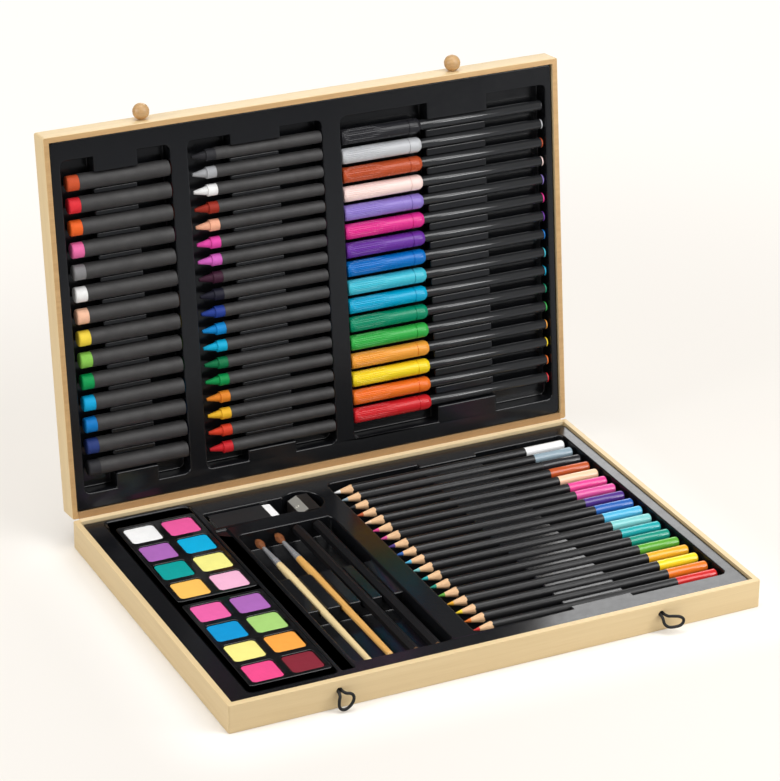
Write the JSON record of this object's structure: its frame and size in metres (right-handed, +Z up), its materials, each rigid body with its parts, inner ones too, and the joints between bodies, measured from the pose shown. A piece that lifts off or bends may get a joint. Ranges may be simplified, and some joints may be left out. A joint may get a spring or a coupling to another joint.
{
  "type": "art set case",
  "caption": "Flat wooden art case with its hinged lid open, holding pencils, crayons, oil pastels, felt pens, paint palettes, brushes, an eraser and a sharpener in black trays.",
  "frame": {"origin": "centre of the base's underside", "axes": "+Z up, +X to the right seen from the front, -Y towards the front"},
  "size_m": [0.3616, 0.308, 0.2817],
  "materials": {
    "case_wood": "satin printed paper over board",
    "hinge_cloth": "matte woven tape",
    "knob_wood": "turned, waxed",
    "elastic_cord": "black braided elastic",
    "tray_plastic": "semi-gloss moulded sheet",
    "palette_plastic": "glossy moulded plastic",
    "paint_tablet": "pressed watercolour",
    "natural_wood": "lacquered",
    "honey_wood": "lacquered",
    "ferrule_metal": "polished, crimped",
    "bristle": "soft hair",
    "eraser_rubber": "matte",
    "sleeve_card": "printed black",
    "sharpener_plastic": "moulded",
    "blade_steel": "ground",
    "pencil_wood": "matte black paint, coloured ends",
    "pastel_wax": "soft wax",
    "crayon_wax": "hard wax",
    "sleeve_paper": "charcoal, matte",
    "marker_barrel": "glossy black",
    "marker_cap": "glossy coloured"
  },
  "bodies": {
    "base": {"base_floor": "case_wood", "base_front_wall": "case_wood", "base_rear_wall": "case_wood", "base_left_wall": "case_wood", "base_right_wall": "case_wood", "hinge_strip_base_leaf": "hinge_cloth", "left_elastic_loop": "elastic_cord", "right_elastic_loop": "elastic_cord", "loop_knots": "elastic_cord", "base_tray": "tray_plastic"},
    "lid": {"lid_panel": "case_wood", "lid_front_wall": "case_wood", "lid_rear_wall": "case_wood", "lid_left_wall": "case_wood", "lid_right_wall": "case_wood", "hinge_strip_lid_leaf": "hinge_cloth", "lid_knobs": "knob_wood", "lid_tray": "tray_plastic", "pastel_sticks": "pastel_wax", "pastel_sleeves": "sleeve_paper", "crayon_sticks": "crayon_wax", "crayon_sleeves": "sleeve_paper", "marker_barrels": "marker_barrel", "marker_caps": "marker_cap", "marker_plugs": "marker_cap"},
    "rear_palette": {"rear_palette": "palette_plastic", "rear_palette_paints": "paint_tablet"},
    "front_palette": {"front_palette": "palette_plastic", "front_palette_paints": "paint_tablet"},
    "left_brush": {"left_brush_handle": "natural_wood", "left_brush_ferrule": "ferrule_metal", "left_brush_bristles": "bristle"},
    "right_brush": {"right_brush_handle": "honey_wood", "right_brush_ferrule": "ferrule_metal", "right_brush_bristles": "bristle"},
    "left_drawing_pencil": {"left_drawing_pencil": "pencil_wood"},
    "right_drawing_pencil": {"right_drawing_pencil": "pencil_wood"},
    "eraser": {"eraser": "eraser_rubber", "eraser_sleeve": "sleeve_card"},
    "sharpener": {"sharpener_body": "sharpener_plastic", "sharpener_blade": "blade_steel", "sharpener_screw": "blade_steel"},
    "coloured_pencil_01": {"coloured_pencil_01": "pencil_wood"},
    "coloured_pencil_02": {"coloured_pencil_02": "pencil_wood"},
    "coloured_pencil_03": {"coloured_pencil_03": "pencil_wood"},
    "coloured_pencil_04": {"coloured_pencil_04": "pencil_wood"},
    "coloured_pencil_05": {"coloured_pencil_05": "pencil_wood"},
    "coloured_pencil_06": {"coloured_pencil_06": "pencil_wood"},
    "coloured_pencil_07": {"coloured_pencil_07": "pencil_wood"},
    "coloured_pencil_08": {"coloured_pencil_08": "pencil_wood"},
    "coloured_pencil_09": {"coloured_pencil_09": "pencil_wood"},
    "coloured_pencil_10": {"coloured_pencil_10": "pencil_wood"},
    "coloured_pencil_11": {"coloured_pencil_11": "pencil_wood"},
    "coloured_pencil_12": {"coloured_pencil_12": "pencil_wood"},
    "coloured_pencil_13": {"coloured_pencil_13": "pencil_wood"},
    "coloured_pencil_14": {"coloured_pencil_14": "pencil_wood"},
    "coloured_pencil_15": {"coloured_pencil_15": "pencil_wood"},
    "coloured_pencil_16": {"coloured_pencil_16": "pencil_wood"},
    "coloured_pencil_17": {"coloured_pencil_17": "pencil_wood"},
    "coloured_pencil_18": {"coloured_pencil_18": "pencil_wood"}
  },
  "joints": [
    {"name": "lid_hinge", "type": "hinge", "parent": "base", "child": "lid", "pos_m": [0, 0.12714, 0.0194], "axis": [-1, 0, 0], "range_deg": [-96.5, 0]},
    {"name": "rear_palette_lift", "type": "slide", "parent": "base", "child": "rear_palette", "axis": [0, 0, 1], "range_m": [0, 0.03]},
    {"name": "front_palette_lift", "type": "slide", "parent": "base", "child": "front_palette", "axis": [0, 0, 1], "range_m": [0, 0.03]},
    {"name": "left_brush_lift", "type": "slide", "parent": "base", "child": "left_brush", "axis": [0, 0, 1], "range_m": [0, 0.03]},
    {"name": "right_brush_lift", "type": "slide", "parent": "base", "child": "right_brush", "axis": [0, 0, 1], "range_m": [0, 0.03]},
    {"name": "left_drawing_pencil_lift", "type": "slide", "parent": "base", "child": "left_drawing_pencil", "axis": [0, 0, 1], "range_m": [0, 0.03]},
    {"name": "right_drawing_pencil_lift", "type": "slide", "parent": "base", "child": "right_drawing_pencil", "axis": [0, 0, 1], "range_m": [0, 0.03]},
    {"name": "eraser_lift", "type": "slide", "parent": "base", "child": "eraser", "axis": [0, 0, 1], "range_m": [0, 0.03]},
    {"name": "sharpener_lift", "type": "slide", "parent": "base", "child": "sharpener", "axis": [0, 0, 1], "range_m": [0, 0.03]},
    {"name": "coloured_pencil_01_lift", "type": "slide", "parent": "base", "child": "coloured_pencil_01", "axis": [0, 0, 1], "range_m": [0, 0.03]},
    {"name": "coloured_pencil_02_lift", "type": "slide", "parent": "base", "child": "coloured_pencil_02", "axis": [0, 0, 1], "range_m": [0, 0.03]},
    {"name": "coloured_pencil_03_lift", "type": "slide", "parent": "base", "child": "coloured_pencil_03", "axis": [0, 0, 1], "range_m": [0, 0.03]},
    {"name": "coloured_pencil_04_lift", "type": "slide", "parent": "base", "child": "coloured_pencil_04", "axis": [0, 0, 1], "range_m": [0, 0.03]},
    {"name": "coloured_pencil_05_lift", "type": "slide", "parent": "base", "child": "coloured_pencil_05", "axis": [0, 0, 1], "range_m": [0, 0.03]},
    {"name": "coloured_pencil_06_lift", "type": "slide", "parent": "base", "child": "coloured_pencil_06", "axis": [0, 0, 1], "range_m": [0, 0.03]},
    {"name": "coloured_pencil_07_lift", "type": "slide", "parent": "base", "child": "coloured_pencil_07", "axis": [0, 0, 1], "range_m": [0, 0.03]},
    {"name": "coloured_pencil_08_lift", "type": "slide", "parent": "base", "child": "coloured_pencil_08", "axis": [0, 0, 1], "range_m": [0, 0.03]},
    {"name": "coloured_pencil_09_lift", "type": "slide", "parent": "base", "child": "coloured_pencil_09", "axis": [0, 0, 1], "range_m": [0, 0.03]},
    {"name": "coloured_pencil_10_lift", "type": "slide", "parent": "base", "child": "coloured_pencil_10", "axis": [0, 0, 1], "range_m": [0, 0.03]},
    {"name": "coloured_pencil_11_lift", "type": "slide", "parent": "base", "child": "coloured_pencil_11", "axis": [0, 0, 1], "range_m": [0, 0.03]},
    {"name": "coloured_pencil_12_lift", "type": "slide", "parent": "base", "child": "coloured_pencil_12", "axis": [0, 0, 1], "range_m": [0, 0.03]},
    {"name": "coloured_pencil_13_lift", "type": "slide", "parent": "base", "child": "coloured_pencil_13", "axis": [0, 0, 1], "range_m": [0, 0.03]},
    {"name": "coloured_pencil_14_lift", "type": "slide", "parent": "base", "child": "coloured_pencil_14", "axis": [0, 0, 1], "range_m": [0, 0.03]},
    {"name": "coloured_pencil_15_lift", "type": "slide", "parent": "base", "child": "coloured_pencil_15", "axis": [0, 0, 1], "range_m": [0, 0.03]},
    {"name": "coloured_pencil_16_lift", "type": "slide", "parent": "base", "child": "coloured_pencil_16", "axis": [0, 0, 1], "range_m": [0, 0.03]},
    {"name": "coloured_pencil_17_lift", "type": "slide", "parent": "base", "child": "coloured_pencil_17", "axis": [0, 0, 1], "range_m": [0, 0.03]},
    {"name": "coloured_pencil_18_lift", "type": "slide", "parent": "base", "child": "coloured_pencil_18", "axis": [0, 0, 1], "range_m": [0, 0.03]}
  ]
}
